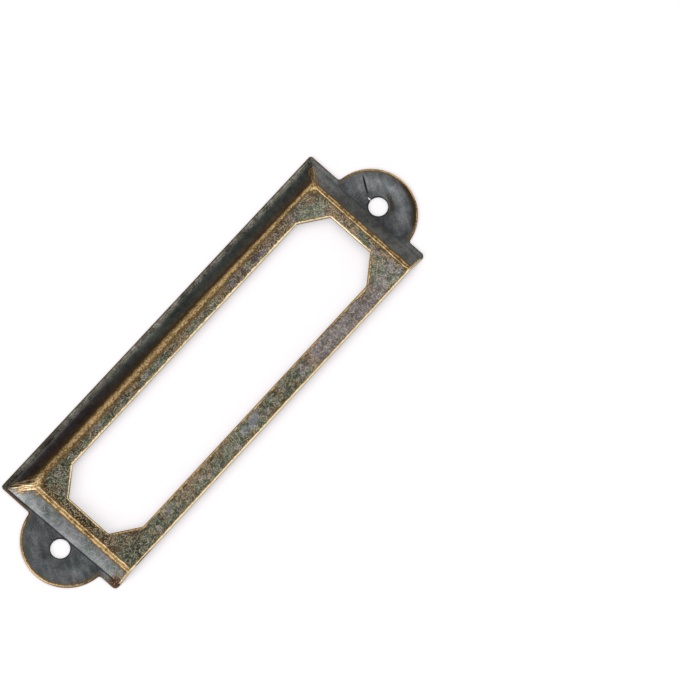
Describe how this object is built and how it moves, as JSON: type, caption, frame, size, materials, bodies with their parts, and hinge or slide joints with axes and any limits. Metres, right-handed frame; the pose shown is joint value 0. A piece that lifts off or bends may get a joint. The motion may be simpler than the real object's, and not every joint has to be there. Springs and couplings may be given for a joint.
{
  "type": "drawer label holder",
  "caption": "Pressed sheet-brass drawer label holder: a raised window frame open on one long side for a card, with a round screw ear at each end.",
  "frame": {"origin": "midway between the two screw holes, on the back plane that lies on the drawer front", "axes": "+X along the length through both screw holes, +Y towards the open side where the card slides in, +Z out of the face"},
  "size_m": [0.082, 0.0233, 0.0018],
  "materials": {
    "antique_brass": "antiqued brass plate: dark brown-grey patina, worn to pale gold on folds and cut edges"
  },
  "bodies": {
    "root": {"label_holder": "antique_brass"}
  },
  "joints": []
}
